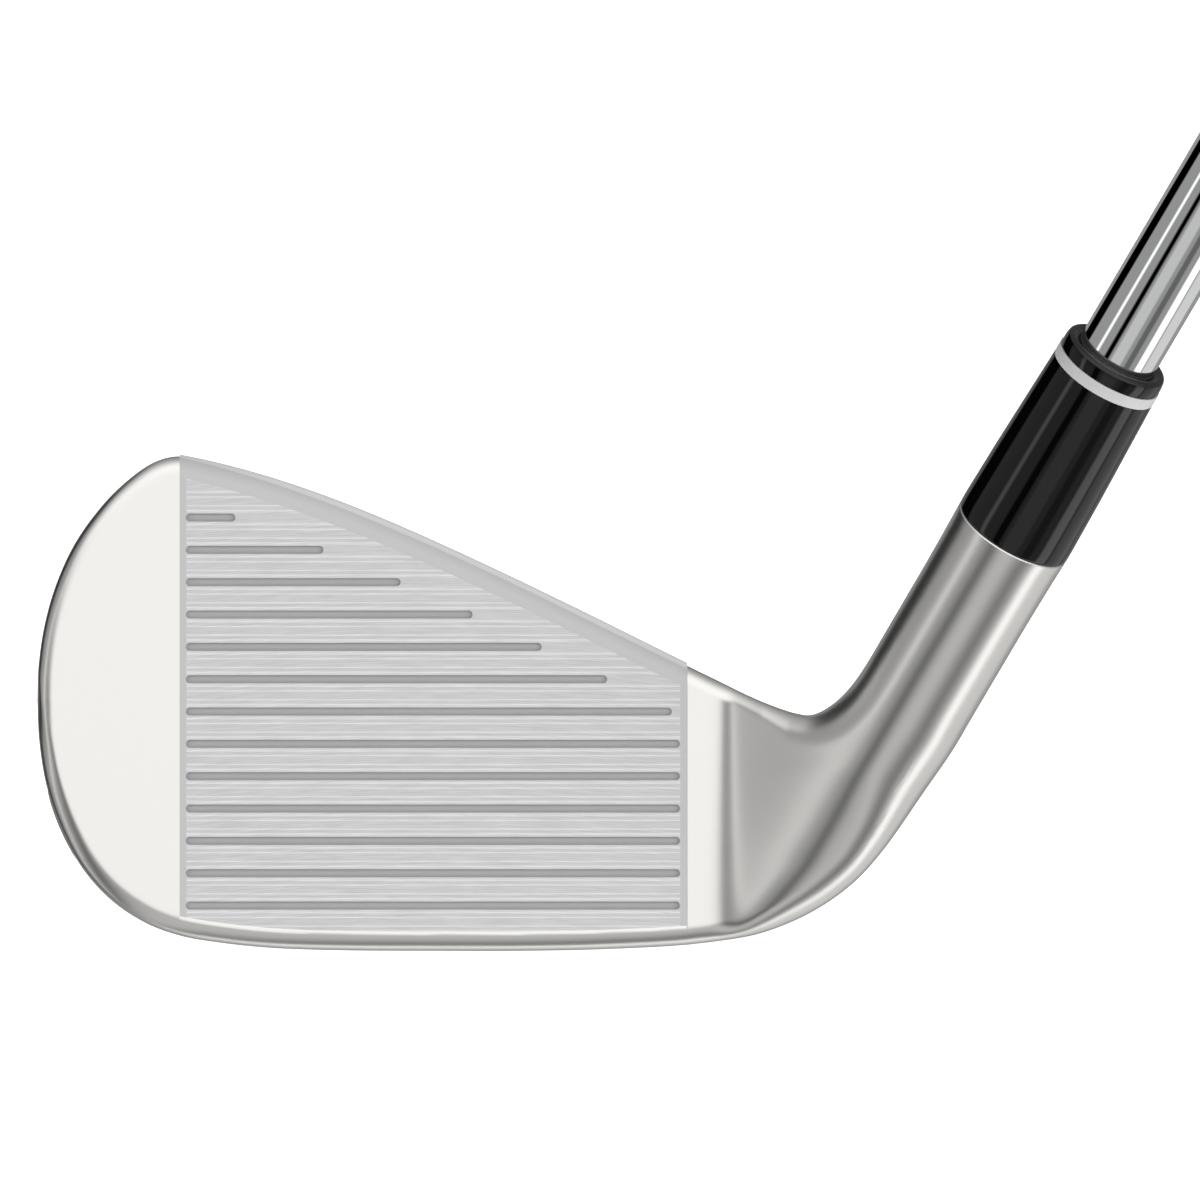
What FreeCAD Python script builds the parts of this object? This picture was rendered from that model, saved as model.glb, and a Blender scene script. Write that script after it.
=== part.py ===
import FreeCAD, Part
import math
import os

from FreeCAD import Placement, Rotation, Vector

# Iron golf club, right-handed 5-iron, 38 in long.
# The row frame has +Z up and the ground at Z = 0. The hosel is towards +X and the face towards -Y.
# The origin is on the ground below the middle of the scorelines. The sole line is swept straight back, so
# the sole is flat and stands ground_gap above the ground.
# The head is drawn in the face frame and then tilted back by the loft. In the face frame X runs from toe
# to heel, Y runs up the face and Z comes out of the face. The shaft parts are drawn along +Z.

DIMENSIONS = {
    # Head as a whole
    "loft": 24,
    "lie": 62,
    "ground_gap": 1.51,
    "axis_u": 37.15,
    "axis_back": 4.3,
    # Blade
    "face_thick": 4.2,
    "lead_round": 2.1,
    "top_round": 1.6,
    "camber_radius": 50,
    "camber_low": 9.5,
    "trail_y": 18.6,
    "trail_z": 2.4,
    "muscle_top": 18.5,
    "muscle_depth": 10.2,
    "heel_end": 33,
    "bar_thick": 6.5,
    # Cavity in the back
    "badge_thick": 1.6,
    "badge_gap": 1.2,
    "tape_thick": 0.3,
    # Hosel
    "hosel_radius": 6.57,
    "hosel_mouth_radius": 6.75,
    "hosel_top": 57.45,
    "neck_top": 33,
    "neck_step": 0.08,
    "hosel_flare": 12,
    "bore_radius": 4.76,
    "bore_depth": 31,
    "seam_chamfer": 0.35,
    # Face insert
    "plate_left": -28.2,
    "plate_right": 28.3,
    "plate_thick": 2.2,
    "plate_bottom": 2.2,
    "plate_proud": 0.33,
    "groove_pitch": 3.6,
    "groove_width": 0.9,
    "groove_depth": 0.45,
    "groove_first": 5.08,
    "groove_left": -27.5,
    # Toe weight
    "weight_radius": 4.2,
    "weight_length": 11,
    # Ferrule
    "ferrule_length": 21.05,
    "ferrule_base_radius": 6.75,
    "ferrule_top_radius": 6.2,
    "ring_length": 1.35,
    "cap_length": 1.9,
    "cap_radius": 6.08,
    "cap_round": 0.5,
    "ferrule_bore_radius": 4.68,
    # Shaft
    "shaft_tip_radius": 4.6,
    "shaft_taper_radius": 4.72,
    "shaft_butt_radius": 7.62,
    "shaft_wall": 0.42,
    "club_length": 965,
    "tip_insert": 30,
    "first_step": 260,
    "step_count": 12,
    "step_length": 26,
    "step_blend": 1.5,
    "plug_length": 16,
    # Label band
    "band_length": 90,
    "band_thick": 0.08,
    "band_gap": 22,
    # Grip
    "grip_length": 267,
    "grip_tape_thick": 0.35,
    "grip_mouth_radius": 8.6,
    "grip_butt_radius": 13.2,
    "cap_flange_radius": 14.6,
    "cap_flange_length": 5.5,
    "vent_radius": 1.75,
    "cap_plug_length": 6,
}

# Blade outline in the plane of the face, from the heel end of the top line round the toe.
TOP_AND_TOE = (
    (41.5, 25.6),
    (28.3, 31.8),
    (3, 44.1),
    (-15, 51.5),
    (-28.2, 55.0),
    (-35.2, 51.4),
    (-40.3, 44.7),
    (-43.3, 35.8),
    (-44.1, 28),
    (-43.3, 19),
    (-41.0, 11),
)
# Lowest line of the sole from toe to heel, which the sole follows front to back.
SOLE_LINE = (
    (-50, 26),
    (-43, 15.6),
    (-37.1, 6.7),
    (-28.2, 1.7),
    (-18, 0.3),
    (-2, 0),
    (14, 0.06),
    (27.5, 0.61),
    (36.4, 1.95),
    (45.3, 6.4),
    (52, 13.9),
    (60.9, 27.8),
)
# Heel section of the blade, from the top round the back and the sole to the front: height and depth.
HEEL_SECTION = (
    (29.0, -3.2),
    (26.5, -6.3),
    (19.0, -9.6),
    (13.0, -14.0),
    (8.8, -16.2),
    (4.5, -10.0),
    (1.6, -3.6),
    (3.6, -0.6),
    (13.0, -0.05),
    (24.5, -0.1),
)
NECK_RINGS = 6
# Right ends of the scorelines, from the lowest up.
GROOVE_ENDS = (27.5, 27.5, 27.5, 27.5, 27.5, 27.5, 26.6, 19.4, 12.1, 4.4, -3.6, -12.2, -22.0)

doc = FreeCAD.newDocument("iron")
sheet = doc.addObject("Spreadsheet::Sheet", "dims")
for row, (name, value) in enumerate(DIMENSIONS.items(), start=1):
    sheet.set("A%d" % row, name)
    sheet.set("B%d" % row, str(value))
    sheet.setAlias("B%d" % row, name)
doc.recompute()
nodes = {}


def dim(name):
    """The value of one driving dimension."""
    return float(sheet.get(name))


def bind(obj, **rules):
    """Ties properties of an object to the spreadsheet. A bare alias gets the sheet's name."""
    for prop, rule in rules.items():
        obj.setExpression(prop, rule)
    return obj


def node(name, obj):
    """Keeps an object as a sub-part under the name of its file."""
    obj.Label = name
    nodes[name] = obj
    return obj


def spline(points):
    """A smooth curve through points given in a sketch's own plane."""
    curve = Part.BSplineCurve()
    curve.interpolate([Vector(x, y, 0) for x, y in points])
    return curve


def segment(start, end):
    """A straight sketch line."""
    return Part.LineSegment(Vector(start[0], start[1], 0), Vector(end[0], end[1], 0))


def sketch(name, curves, placement=None):
    """A sketch holding the given curves."""
    drawn = doc.addObject("Sketcher::SketchObject", name)
    for curve in curves:
        drawn.addGeometry(curve, False)
    if placement is not None:
        drawn.Placement = placement
    return drawn


def polygon(points):
    """The closed chain of lines through points."""
    return [segment(a, b) for a, b in zip(points, points[1:] + points[:1])]


def extrude(name, base, direction, length, length_rule=None):
    """A solid swept from a closed sketch along a direction."""
    solid = doc.addObject("Part::Extrusion", name)
    solid.Base = base
    solid.DirMode = "Custom"
    solid.Dir = direction
    solid.LengthFwd = length
    solid.Solid = True
    if length_rule:
        bind(solid, LengthFwd=length_rule)
    return solid


def cut(name, base, tool):
    """One shape less another."""
    result = doc.addObject("Part::Cut", name)
    result.Base = base
    result.Tool = tool
    return result


def fuse(name, shapes):
    """Several shapes joined into one solid."""
    result = doc.addObject("Part::MultiFuse", name)
    result.Shapes = shapes
    result.Refine = True
    return result


def common(name, shapes):
    """The space that all shapes share."""
    result = doc.addObject("Part::MultiCommon", name)
    result.Shapes = shapes
    return result


def rounded(name, base, rule, chosen):
    """The base with the chosen edges rounded to a bound radius."""
    doc.recompute()
    radius = dim(rule.split(".")[1])
    edges = [i for i, edge in enumerate(base.Shape.Edges, start=1) if chosen(edge)]
    result = doc.addObject("Part::Fillet", name)
    result.Base = base
    result.Edges = [(i, radius, radius) for i in edges]
    doc.recompute()
    return result


def spun(name, profile, placement=None):
    """A solid of revolution about Z. The profile gives radius and height pairs, closed at the axis side."""
    drawn = sketch(name + "_profile", polygon(profile), Placement(Vector(), Rotation(Vector(1, 0, 0), 90)))
    solid = doc.addObject("Part::Revolution", name)
    solid.Source = drawn
    solid.Axis = Vector(0, 0, 1)
    solid.Angle = 360
    solid.Solid = True
    if placement is not None:
        solid.Placement = placement
    return solid


# ---------------------------------------------------------------- shared directions
loft = math.radians(dim("loft"))
lie = math.radians(dim("lie"))
TILT = Placement(Vector(0, 0, dim("ground_gap")), Rotation(Vector(1, 0, 0), 90 - dim("loft")))
BACKWARD = Vector(0, math.sin(loft), -math.cos(loft))
AXIS = Vector(math.cos(lie), 0, math.sin(lie))


def axis_frame(along):
    """The placement whose Z runs up the shaft axis, at a distance above the ground along that axis."""
    foot_u = dim("axis_u") + (dim("axis_back") * math.tan(loft) - dim("ground_gap")) / math.tan(lie)
    foot = Vector(foot_u, dim("axis_back"), 0)
    return Placement(foot + AXIS * along, Rotation(Vector(0, 1, 0), 90 - dim("lie")))


def to_face(placement):
    """A row placement seen from the face frame."""
    return TILT.inverse().multiply(placement)


def face_point(y, z):
    """Height up the face and depth for a point given by its distance back and its height above ground."""
    up = y * math.sin(loft) + (z - dim("ground_gap")) * math.cos(loft)
    out = -y * math.cos(loft) + (z - dim("ground_gap")) * math.sin(loft)
    return (up, out)


# ---------------------------------------------------------------- head forging
def side_profile():
    """The blade's section seen from the toe, as curves over height up the face and depth."""
    r = dim("lead_round")
    low = dim("camber_low")
    big = dim("camber_radius")
    slope = math.asin((low - 2.5) / big)
    centre = Vector(r, -r, 0)
    down = Vector(*face_point(-math.sin(slope), -math.cos(slope) + dim("ground_gap")), 0)
    lead_end = centre + down * r
    arc_mid = centre + (down + Vector(0, 1, 0)).normalize() * r
    camber_mid = face_point(low + 1, big - math.sqrt(big**2 - 1))
    camber_end = face_point(16.8, big - math.sqrt(big**2 - (16.8 - low) ** 2))
    trail = face_point(dim("trail_y") + 0.4, dim("trail_z") + 1.6)
    trail_mid = face_point(dim("trail_y"), dim("trail_z") - 0.9)
    muscle = (dim("muscle_top"), -dim("muscle_depth"))
    bar = (dim("muscle_top") + 9, -dim("bar_thick"))
    top = (62, -dim("bar_thick"))
    curves = [
        segment((62, 0), (r, 0)),
        Part.Arc(Vector(r, 0, 0), arc_mid, lead_end),
        Part.Arc(lead_end, Vector(*camber_mid, 0), Vector(*camber_end, 0)),
        Part.Arc(Vector(*camber_end, 0), Vector(*trail_mid, 0), Vector(*trail, 0)),
        segment(trail, muscle),
        segment(muscle, bar),
        segment(bar, top),
        segment(top, (62, 0)),
    ]
    return curves


def in_side_plane(u):
    """The plane seen from the toe at one place along the blade. Its X is up the face and its Y is outward."""
    return Placement(Vector(u, 0, 0), Rotation(Vector(0, 1, 0), Vector(0, 0, 1), Vector(1, 0, 0), "ZXY"))


def blade():
    """The blade without its hosel: an outline, a sole line and a side section, all cut from one block."""
    outline = sketch(
        "outline",
        [
            spline(TOP_AND_TOE),
            segment(TOP_AND_TOE[-1], (-34, -12)),
            segment((-34, -12), (41.5, -12)),
            segment((41.5, -12), TOP_AND_TOE[0]),
        ],
    )
    front = extrude("outline_block", outline, Vector(0, 0, -1), 30)
    sole = sketch(
        "sole_line",
        [
            spline(SOLE_LINE),
            segment(SOLE_LINE[-1], (60.9, 70)),
            segment((60.9, 70), (-50, 70)),
            segment((-50, 70), SOLE_LINE[0]),
        ],
        Placement(BACKWARD * -4, Rotation()),
    )
    lower = extrude("sole_block", sole, BACKWARD, 40)
    side = sketch("side_profile", side_profile(), in_side_plane(-50))
    section = extrude("section_block", side, Vector(1, 0, 0), 50 + dim("heel_end"), "50 + dims.heel_end")
    return common("blade", [front, section, lower])


def neck():
    """The blend from the blade's heel to the hosel, one smooth path per point of the section."""
    start_u = dim("heel_end") - 0.4
    frame = to_face(axis_frame(dim("neck_top")))
    along = frame.Rotation.multVec(Vector(0, 0, 1))
    paths = []
    count = len(HEEL_SECTION)
    for i, (up, out) in enumerate(HEEL_SECTION):
        turn = math.radians(180 + 360 * i / count)
        rim = Vector(math.cos(turn), -math.sin(turn), 0) * (dim("hosel_radius") + dim("neck_step"))
        end = frame.multVec(rim)
        start = Vector(start_u, up, out)
        fall = 0.46 * up / 29
        back = (end.y - start.y + fall * (end.x - start.x)) / (along.y + fall * along.x)
        corner = end - along * back
        first = start + (corner - start) * 0.62
        first.z = out
        last = corner + (end - corner) * 0.38
        path = Part.BezierCurve()
        path.setPoles([start, first, last, end])
        paths.append(path)
    rings = []
    for step in range(NECK_RINGS + 1):
        ring = Part.BSplineCurve()
        ring.interpolate([path.value(step / NECK_RINGS) for path in paths], PeriodicFlag=True)
        rings.append(Part.Wire([ring.toShape()]))
    shape = doc.addObject("Part::Feature", "neck")
    shape.Shape = Part.makeLoft(rings, True)
    return shape


def on_face_rim(edge):
    """True for the front edge of the top line and toe."""
    box = edge.BoundBox
    flat = abs(box.ZMin) < 1e-4 and abs(box.ZMax) < 1e-4
    return flat and box.XLength > 1 and box.YLength > 5 and box.XMin < -30


def outer_blade():
    """The blade with the front edge of its top line and toe rounded."""
    return rounded("blade_rounded", blade(), "dims.top_round", on_face_rim)


def plate_outline(name, rise):
    """The insert's outline. Its top follows the top line and its bottom the rounded leading edge."""
    left = dim("plate_left")
    right = dim("plate_right")
    low = dim("plate_bottom")
    bottom = [(left, low + 1.7), (-18, low + 0.4), (-2, low), (14, low + 0.05), (right, low + 0.65)]
    top = [(right, 31.8 + rise), (16, 37.9 + rise), (3, 44.1 + rise), (-15, 51.5 + rise), (left, 55.0 + rise)]
    curves = [spline(top), segment(top[-1], bottom[0]), spline(bottom), segment(bottom[-1], top[0])]
    return sketch(name, curves)


def groove_cutter():
    """Thirteen scorelines with round ends, as one cutter."""
    half = dim("groove_width") / 2
    start = dim("groove_left") + half
    curves = []
    for i, right in enumerate(GROOVE_ENDS):
        up = dim("groove_first") + dim("groove_pitch") * i
        end = right - half
        curves.append(segment((start, up + half), (end, up + half)))
        curves.append(segment((end, up - half), (start, up - half)))
        for at, side in ((start, -1), (end, 1)):
            low = Vector(at, up - half, 0)
            high = Vector(at, up + half, 0)
            curves.append(Part.Arc(low, Vector(at + side * half, up, 0), high))
    drawn = sketch("scorelines", curves, Placement(Vector(0, 0, 1), Rotation()))
    return extrude("scoreline_cutter", drawn, Vector(0, 0, -1), 1.5, "1 + dims.groove_depth")


def on_plate_top(edge):
    """True for the insert's front edge along the top line."""
    box = edge.BoundBox
    return abs(box.ZMin) < 1e-4 and abs(box.ZMax) < 1e-4 and box.XLength > 50 and box.YMin > 20


def face_plate():
    """The milled insert, with its scorelines."""
    block = extrude("plate_block", plate_outline("plate_outline", dim("plate_proud")), Vector(0, 0, -1), 2)
    bind(block, LengthFwd="dims.plate_thick")
    eased = rounded("plate_eased", block, "dims.top_round", on_plate_top)
    return cut("plate", eased, groove_cutter())


def cavity_sketch(name, out, inset=0.0):
    """The outline of the cavity in the back, drawn at a depth and drawn in by an inset."""
    across = 1 - inset / 33
    up = 1 - inset / 14
    parts = (
        [(29, 21.5), (28.2, 24.2), (16, 30.2), (3, 36.4), (-15, 43.6), (-25, 46.6)],
        [(-25, 46.6), (-31.5, 44.2), (-35.6, 38), (-37, 30), (-36, 23.5), (-32.5, 19.5)],
        [(-32.5, 19.5), (-28, 18.8), (-5, 18.8), (25, 18.8), (28, 19.4), (29, 21.5)],
    )
    curves = [spline([(-4 + (x + 4) * across, 32 + (y - 32) * up) for x, y in part]) for part in parts]
    return sketch(name, curves, Placement(Vector(0, 0, -out), Rotation()))


def weight_cylinder(name):
    """The round hole in the toe, or the weight that fills it."""
    hole = doc.addObject("Part::Cylinder", name)
    bind(hole, Radius="dims.weight_radius", Height="dims.weight_length + 6")
    hole.Placement = Placement(Vector(-49, 14, -7), Rotation(Vector(0, 1, 0), 90))
    return hole


def head_body(block):
    """The forging: blade, neck and hosel, less the cavity, bore, weight hole and the insert's recess."""
    hosel = doc.addObject("Part::Cylinder", "hosel")
    bind(hosel, Radius="dims.hosel_radius", Height="dims.hosel_top - dims.neck_top + 2")
    hosel.Placement = to_face(axis_frame(dim("neck_top") - 2))
    mouth = doc.addObject("Part::Cone", "hosel_mouth")
    bind(mouth, Radius1="dims.hosel_radius", Radius2="dims.hosel_mouth_radius", Height="dims.hosel_flare")
    mouth.Placement = to_face(axis_frame(dim("hosel_top") - dim("hosel_flare")))
    solid = fuse("head_solid", [block, neck(), hosel, mouth])
    bore = doc.addObject("Part::Cylinder", "hosel_bore")
    bind(bore, Radius="dims.bore_radius", Height="dims.bore_depth + 1")
    bore.Placement = to_face(axis_frame(dim("hosel_top") - dim("bore_depth")))
    recess = extrude("plate_recess", plate_outline("recess_outline", 4), Vector(0, 0, -1), 2)
    bind(recess, LengthFwd="dims.plate_thick")
    cavity = extrude("cavity", cavity_sketch("cavity_outline", dim("face_thick")), Vector(0, 0, -1), 30)
    tools = doc.addObject("Part::Compound", "head_tools")
    tools.Links = [bore, recess, cavity, weight_cylinder("weight_hole")]
    return cut("forging", solid, tools)


def cavity_layer(name, out, thick_rule):
    """A flat layer that lies in the cavity, a little inside its outline."""
    drawn = cavity_sketch(name + "_outline", out, dim("badge_gap"))
    return extrude(name, drawn, Vector(0, 0, -1), 1, thick_rule)


def build_head():
    """Head, insert, badge, its adhesive and the toe weight, all tilted back by the loft."""
    block = outer_blade()
    face = dim("face_thick")
    pieces = {
        "head_body": head_body(block),
        "face_plate": face_plate(),
        "badge_tape": cavity_layer("badge_adhesive", face, "dims.tape_thick"),
        "cavity_badge": cavity_layer("badge", face + dim("tape_thick"), "dims.badge_thick"),
        "toe_weight": common("weight", [block, weight_cylinder("weight_bar")]),
    }
    doc.recompute()
    for name, piece in pieces.items():
        piece.Placement = TILT.multiply(piece.Placement)
        node(name, piece)


# ---------------------------------------------------------------- parts on the shaft axis
def cylinder(name, radius_rule, height_rule, along):
    """A cylinder on the shaft axis."""
    solid = doc.addObject("Part::Cylinder", name)
    bind(solid, Radius=radius_rule, Height=height_rule)
    solid.Placement = axis_frame(along)
    return solid


def tube(name, outer_rule, inner_rule, height_rule, along):
    """A plain tube on the shaft axis."""
    outer = cylinder(name + "_outer", outer_rule, height_rule, along)
    inner = cylinder(name + "_inner", inner_rule, height_rule, along)
    return cut(name, outer, inner)


def shaft_outline():
    """Outside radius of the shaft against distance from its tip: a slim tip, then even steps to the butt."""
    tip = dim("shaft_tip_radius")
    taper = dim("shaft_taper_radius")
    butt = dim("shaft_butt_radius")
    count = int(dim("step_count"))
    rise = (butt - taper) / count
    line = [(tip, 0), (tip, dim("tip_insert")), (taper, dim("first_step"))]
    radius = taper
    for i in range(count):
        at = dim("first_step") + dim("step_length") * i
        radius += rise
        line.append((radius, at + dim("step_blend")))
        if i < count - 1:
            line.append((radius, at + dim("step_length")))
    line.append((butt, butt_end - tip_end))
    return line


def build_shaft():
    """The stepped steel tube with its tip plug and label band."""
    outside = shaft_outline()
    wall = dim("shaft_wall")
    inside = [(radius - wall, height) for radius, height in reversed(outside)]
    node("shaft", spun("steel_tube", outside + inside, axis_frame(tip_end)))
    plug = cylinder("plug", "dims.shaft_tip_radius - dims.shaft_wall", "dims.plug_length", tip_end)
    node("tip_plug", plug)
    start = grip_start - dim("band_gap") - dim("band_length")
    outer = "dims.shaft_butt_radius + dims.band_thick"
    node("shaft_band", tube("label", outer, "dims.shaft_butt_radius", "dims.band_length", start))


def build_ferrule():
    """Epoxy in the hosel, then the ferrule in three parts up the shaft."""
    bond = cylinder("bond_outer", "dims.bore_radius", "dims.bore_depth", hosel_top - dim("bore_depth"))
    void = cylinder("bond_inner", "dims.shaft_tip_radius", "dims.bore_depth", tip_end)
    node("hosel_epoxy", cut("bond", bond, void))
    bore = dim("ferrule_bore_radius")
    base = dim("ferrule_base_radius")
    top = dim("ferrule_top_radius")
    long = dim("ferrule_length")
    ease = dim("seam_chamfer")
    sleeve = [(bore, 0), (base - ease, 0), (base, ease), (base, 1.5), (base - 0.13, 8), (top, long), (bore, long)]
    node("ferrule_body", spun("ferrule_sleeve", sleeve, axis_frame(hosel_top)))
    ring_at = hosel_top + long
    radii = ("dims.ferrule_top_radius", "dims.ferrule_bore_radius")
    node("ferrule_ring", tube("trim_ring", *radii, "dims.ring_length", ring_at))
    rim = dim("cap_radius")
    high = dim("cap_length")
    ease = dim("cap_round")
    lip = bore + 0.45
    cap = [
        (bore, 0),
        (rim, 0),
        (rim - 0.1, high - ease),
        (rim - 0.25, high - 0.15),
        (rim - 0.25 - ease / 2, high),
        (lip, high),
        (lip, high - 0.4),
        (bore, high - 0.4),
    ]
    node("ferrule_cap", spun("end_cap", cap, axis_frame(ring_at + dim("ring_length"))))


def build_grip():
    """Tape, rubber sleeve and butt cap."""
    over_tape = "dims.shaft_butt_radius + dims.grip_tape_thick"
    length = "dims.grip_length - dims.cap_flange_length - 2"
    node("grip_tape", tube("tape", over_tape, "dims.shaft_butt_radius", length, grip_start + 2))
    inner = dim("shaft_butt_radius") + dim("grip_tape_thick")
    mouth = dim("grip_mouth_radius")
    butt = dim("grip_butt_radius")
    long = butt_end - grip_start
    sleeve = [
        (inner, 0),
        (mouth, 0),
        (mouth + 0.6, 0.8),
        (mouth + 0.6, 4),
        (mouth + 0.2, 5),
        (mouth + 1.9, long * 0.5),
        (mouth + 2.9, long * 0.75),
        (butt, long),
        (inner, long),
    ]
    node("grip_sleeve", spun("rubber_sleeve", sleeve, axis_frame(grip_start)))
    vent = dim("vent_radius")
    plug = dim("shaft_butt_radius") - dim("shaft_wall")
    deep = dim("cap_plug_length")
    flange = dim("cap_flange_radius")
    high = dim("cap_flange_length")
    cap = [
        (vent, 0),
        (plug - 2, 0),
        (plug - 2, -deep),
        (plug, -deep),
        (plug, 0),
        (butt, 0),
        (flange, 1.2),
        (flange, high - 2),
        (flange - 0.6, high - 0.6),
        (flange - 2, high),
        (vent, high),
    ]
    node("grip_cap", spun("butt_cap", cap, axis_frame(butt_end)))


hosel_top = dim("hosel_top")
tip_end = hosel_top - dim("tip_insert")
butt_end = dim("club_length") - dim("cap_flange_length")
grip_start = dim("club_length") - dim("grip_length")

build_head()
build_ferrule()
build_shaft()
build_grip()
doc.recompute()

for obj in doc.Objects:
    if "Invalid" in obj.State or "Error" in obj.State:
        raise RuntimeError("feature %s failed" % obj.Name)
for name, obj in nodes.items():
    if obj.Shape.isNull() or not obj.Shape.isValid() or len(obj.Shape.Solids) != 1:
        raise RuntimeError("sub-part %s isn't one good solid" % name)
os.makedirs("parts", exist_ok=True)
for name, obj in nodes.items():
    obj.Shape.exportStep("parts/%s.step" % name)
    print(name, round(obj.Shape.Volume))
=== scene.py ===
import math

import bpy
import numpy as np
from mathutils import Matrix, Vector, kdtree


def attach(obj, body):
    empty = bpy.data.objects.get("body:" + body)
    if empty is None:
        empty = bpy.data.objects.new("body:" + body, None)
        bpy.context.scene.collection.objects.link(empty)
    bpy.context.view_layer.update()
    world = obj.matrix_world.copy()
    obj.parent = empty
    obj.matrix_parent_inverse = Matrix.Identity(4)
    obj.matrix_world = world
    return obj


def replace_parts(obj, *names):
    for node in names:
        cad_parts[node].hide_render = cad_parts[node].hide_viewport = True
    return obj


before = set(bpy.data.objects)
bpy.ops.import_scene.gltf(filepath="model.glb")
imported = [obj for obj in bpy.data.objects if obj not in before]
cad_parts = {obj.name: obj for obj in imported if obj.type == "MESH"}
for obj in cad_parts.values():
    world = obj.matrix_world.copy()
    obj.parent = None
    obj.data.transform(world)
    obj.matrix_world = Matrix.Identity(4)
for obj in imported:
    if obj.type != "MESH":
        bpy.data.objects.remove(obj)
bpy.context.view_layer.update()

# The head is worked out in the face frame, in millimetres: u from toe to heel, v up the face and w out of it.
LOFT = math.radians(24)
LIE = math.radians(62)
GROUND_GAP = 1.51
AXIS_BACK = 4.3
AXIS_U = 37.15
AXIS = np.array([math.cos(LIE), 0, math.sin(LIE)])
FOOT = np.array([AXIS_U + (AXIS_BACK * math.tan(LOFT) - GROUND_GAP) / math.tan(LIE), AXIS_BACK, 0])
FACE_AXES = np.array(
    [[1, 0, 0], [0, math.sin(LOFT), math.cos(LOFT)], [0, -math.cos(LOFT), math.sin(LOFT)]]
)
FACE_ORIGIN = np.array([0, 0, GROUND_GAP])


def from_face(points):
    """Face-frame millimetres to row-frame metres."""
    return (np.asarray(points) @ FACE_AXES + FACE_ORIGIN) / 1000


def to_face(points):
    """Row-frame millimetres to the face frame."""
    return (np.asarray(points) - FACE_ORIGIN) @ FACE_AXES.T


def add_mesh(name, points, faces, smooth=True):
    """A mesh object in metres, with smooth or flat shading."""
    mesh = bpy.data.meshes.new(name)
    mesh.from_pydata(np.asarray(points).tolist(), [], [list(map(int, f)) for f in faces])
    mesh.validate()
    mesh.update()
    mesh.polygons.foreach_set("use_smooth", [smooth] * len(mesh.polygons))
    obj = bpy.data.objects.new(name, mesh)
    bpy.context.scene.collection.objects.link(obj)
    return obj


def grid_faces(rings, count, closed=True):
    """Quads between rings of points, each ring with the same count."""
    faces = []
    for j in range(rings - 1):
        for i in range(count if closed else count - 1):
            k = (i + 1) % count
            faces.append((j * count + i, j * count + k, (j + 1) * count + k, (j + 1) * count + i))
    return faces


def smooth_curve(points, count):
    """Dense points on a smooth curve through the given ones, by centripetal Catmull-Rom spans."""
    p = np.array(points, float)
    p = np.vstack([2 * p[0] - p[1], p, 2 * p[-1] - p[-2]])
    out = []
    for i in range(1, len(p) - 2):
        a, b, c, d = p[i - 1 : i + 3]
        t0 = 0
        t1 = t0 + np.linalg.norm(b - a) ** 0.5
        t2 = t1 + np.linalg.norm(c - b) ** 0.5
        t3 = t2 + np.linalg.norm(d - c) ** 0.5
        t = np.linspace(t1, t2, count, endpoint=False)[:, None]
        ab = (t1 - t) / (t1 - t0) * a + (t - t0) / (t1 - t0) * b
        bc = (t2 - t) / (t2 - t1) * b + (t - t1) / (t2 - t1) * c
        cd = (t3 - t) / (t3 - t2) * c + (t - t2) / (t3 - t2) * d
        abc = (t2 - t) / (t2 - t0) * ab + (t - t0) / (t2 - t0) * bc
        bcd = (t3 - t) / (t3 - t1) * bc + (t - t1) / (t3 - t1) * cd
        out.append((t2 - t) / (t2 - t1) * abc + (t - t1) / (t2 - t1) * bcd)
    out.append(p[-2:-1])
    return np.vstack(out)


# ---------------------------------------------------------------- blade shape
BLADE_TOP = [
    (40, 26.3), (36.4, 27.9), (32.5, 29.75), (28.3, 31.8),
    (16, 37.9), (3, 44.05), (-10.4, 49.8), (-17, 52.2),
    (-22.5, 54.0), (-26, 54.85), (-28.8, 55.1), (-31.4, 54.3), (-35.2, 51.4), (-38.1, 48.1), (-40.3, 44.7),
    (-42.2, 40.3), (-43.4, 35.8), (-44, 31.3), (-44.1, 28),
]
BLADE_LOW = [
    (-44.1, 28), (-43.9, 23.5), (-43.1, 18.5), (-41.4, 13.5),
    (-39, 9.1), (-35.8, 5.6), (-32, 3.1), (-28.2, 1.7),
    (-24, 0.95), (-18, 0.33), (-10, 0.06), (0, 0), (10, 0),
    (18.6, 0.17), (27.5, 0.61), (32.5, 1.15), (36, 1.8),
]
LEAD_ROUND = 2.1
RIM_ROUND = 1.75
TOE_SIDE = (9, 15)
PLATE_LEFT, PLATE_RIGHT = -28.2, 28.3
GROOVE_FIRST = 5.08
GROOVE_PITCH = 3.6
HEEL_U = 28.6
TOE_U = -44.1

CAVITY = [
    (-36, 23.5), (-37, 30), (-35.6, 38), (-31.5, 44.2), (-25, 46.6),
    (-15, 43.6), (3, 36.4), (16, 30.2), (28.2, 24.2),
    (29, 21.5), (28, 19.4), (25, 18.8), (-5, 18.8), (-28, 18.8), (-32.5, 19.5), (-36, 23.5),
]
CAVITY_DEPTH = 4.2

top_line = smooth_curve(BLADE_TOP, 30)
low_line = smooth_curve(BLADE_LOW, 30)
outline = np.vstack([top_line, low_line[1:]])
cavity_loop = smooth_curve(CAVITY, 20)


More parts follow.
